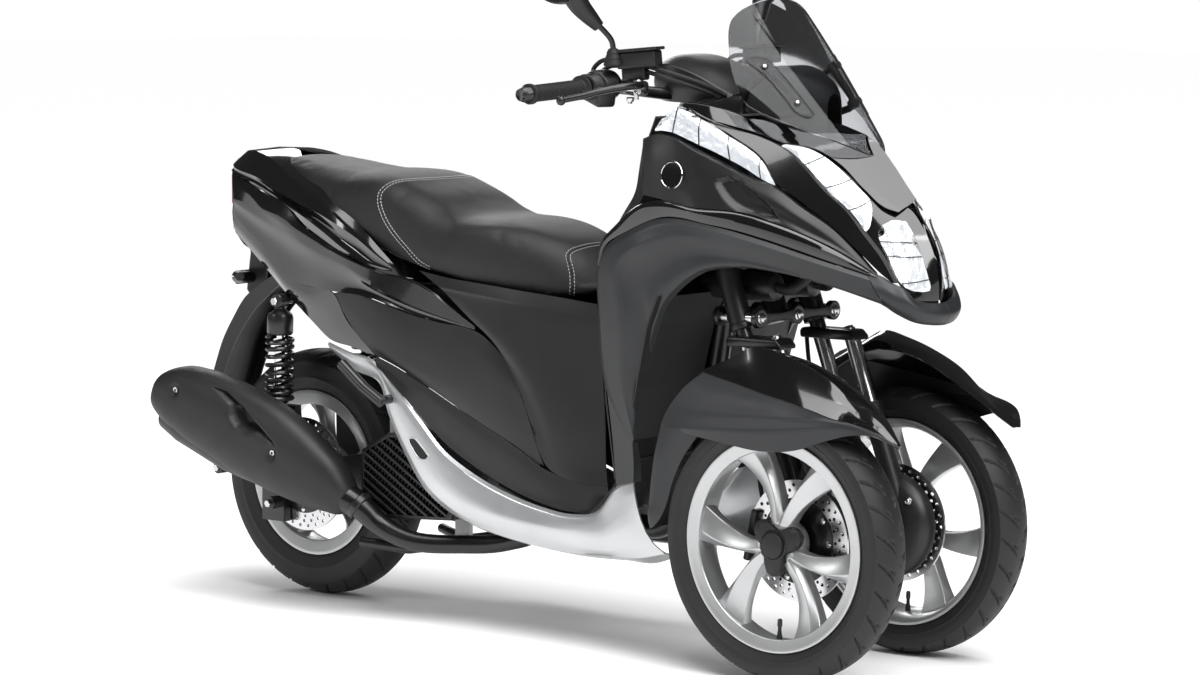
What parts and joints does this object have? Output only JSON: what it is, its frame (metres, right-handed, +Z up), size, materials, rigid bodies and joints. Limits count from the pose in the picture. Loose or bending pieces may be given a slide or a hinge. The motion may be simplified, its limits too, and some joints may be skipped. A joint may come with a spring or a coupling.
{
  "type": "reverse trike",
  "caption": "Leaning scooter with two steered front wheels and one rear wheel, bodywork, windscreen, hinged seat over a storage box, mirrors and stands.",
  "frame": {"origin": "on the floor below the middle of the machine's box, at rest on its three tyres", "axes": "+X forwards to the front wheels, +Y to the rider's left, +Z up"},
  "size_m": [1.89, 0.747, 1.303],
  "materials": {
    "gloss_black": "painted body plastic, high gloss black",
    "satin_grey": "moulded body plastic, fine grained dark grey",
    "matte_black": "moulded plastic, grained black",
    "silver_paint": "metallic silver paint",
    "black_metal": "black powder coat",
    "matte_black_metal": "matt heat proof black paint",
    "cast_alloy": "cast aluminium, painted dark",
    "silver_wheel": "metallic silver wheel lacquer",
    "steel": "ground stainless steel",
    "tyre": "black tyre rubber",
    "grip_rubber": "soft black rubber",
    "seat_leather": "grained black leatherette with pale stitching",
    "clear_lens": "clear lamp lens over bright reflectors",
    "red_lens": "red lamp lens",
    "smoke_screen": "smoke tinted transparent screen"
  },
  "bodies": {
    "rear_wheel": {"rear_tyre": "tyre", "rear_rim": "silver_wheel", "rear_disc": "steel"},
    "fork_left": {"fork_left": "black_metal", "fender_left": "gloss_black"},
    "fork_right": {"fork_right": "black_metal", "fender_right": "gloss_black"},
    "front_wheel_left": {"front_tyre_left": "tyre", "front_rim_left": "silver_wheel", "front_disc_left": "steel"},
    "front_wheel_right": {"front_tyre_right": "tyre", "front_rim_right": "silver_wheel", "front_disc_right": "steel"},
    "handlebar": {"handlebar": "black_metal", "grips": "grip_rubber", "controls": "matte_black", "mirrors": "matte_black", "handlebar_cover": "matte_black"},
    "seat": {"seat": "seat_leather"},
    "centre_stand": {"centre_stand": "black_metal"},
    "side_stand": {"side_stand": "black_metal"},
    "root": {"bearing_posts": "black_metal", "belt_case": "cast_alloy", "engine": "cast_alloy", "exhaust": "matte_black_metal", "footboard": "matte_black", "footrests": "black_metal", "frame": "black_metal", "front_cowl": "gloss_black", "grab_rail": "gloss_black", "headlamp": "clear_lens", "inner_shield": "matte_black", "leg_shield": "satin_grey", "nose_trim": "satin_grey", "position_lamps": "clear_lens", "radiator_cover": "matte_black", "rear_arm": "cast_alloy", "rear_fender": "matte_black", "rear_shocks": "black_metal", "screen_mount": "matte_black", "side_covers": "satin_grey", "side_cowls": "satin_grey", "side_trims": "silver_paint", "storage_box": "matte_black", "tail_cowl": "gloss_black", "tail_lamp": "red_lens", "tilt_arms": "black_metal", "turn_lamps": "clear_lens", "wheel_house": "matte_black", "windscreen": "smoke_screen"}
  },
  "joints": [
    {"name": "handlebar_steer", "type": "hinge", "parent": "root", "child": "handlebar", "pos_m": [0.43543, 0, 0.9], "axis": [-0.342, 0, 0.9397], "range_deg": [-32, 32]},
    {"name": "fork_left_steer", "type": "hinge", "parent": "root", "child": "fork_left", "pos_m": [0.51186, 0.112, 0.69], "axis": [-0.342, 0, 0.9397], "range_deg": [-32, 32]},
    {"name": "fork_right_steer", "type": "hinge", "parent": "root", "child": "fork_right", "pos_m": [0.51186, -0.112, 0.69], "axis": [-0.342, 0, 0.9397], "range_deg": [-32, 32]},
    {"name": "front_wheel_left_spin", "type": "hinge", "parent": "fork_left", "child": "front_wheel_left", "pos_m": [0.695, 0.1925, 0.25], "axis": [0, 1, 0], "continuous": true},
    {"name": "front_wheel_right_spin", "type": "hinge", "parent": "fork_right", "child": "front_wheel_right", "pos_m": [0.695, -0.1925, 0.25], "axis": [0, 1, 0], "continuous": true},
    {"name": "rear_wheel_spin", "type": "hinge", "parent": "root", "child": "rear_wheel", "pos_m": [-0.615, 0, 0.251], "axis": [0, 1, 0], "continuous": true},
    {"name": "seat_hinge", "type": "hinge", "parent": "root", "child": "seat", "pos_m": [0.185, 0, 0.646], "axis": [0, 1, 0], "range_deg": [0, 55]},
    {"name": "centre_stand_swing", "type": "hinge", "parent": "root", "child": "centre_stand", "pos_m": [-0.195, 0, 0.15], "axis": [0, -1, 0], "range_deg": [0, 80], "stiffness_Nm_per_rad": 8, "springref_deg": -30},
    {"name": "side_stand_swing", "type": "hinge", "parent": "root", "child": "side_stand", "pos_m": [0.035, 0.172, 0.168], "axis": [0, -1, 0], "range_deg": [0, 75], "stiffness_Nm_per_rad": 2, "springref_deg": -30}
  ],
  "couplings": [
    {"joint": "fork_left_steer", "follows": "handlebar_steer", "ratio": 1},
    {"joint": "fork_right_steer", "follows": "handlebar_steer", "ratio": 1}
  ]
}
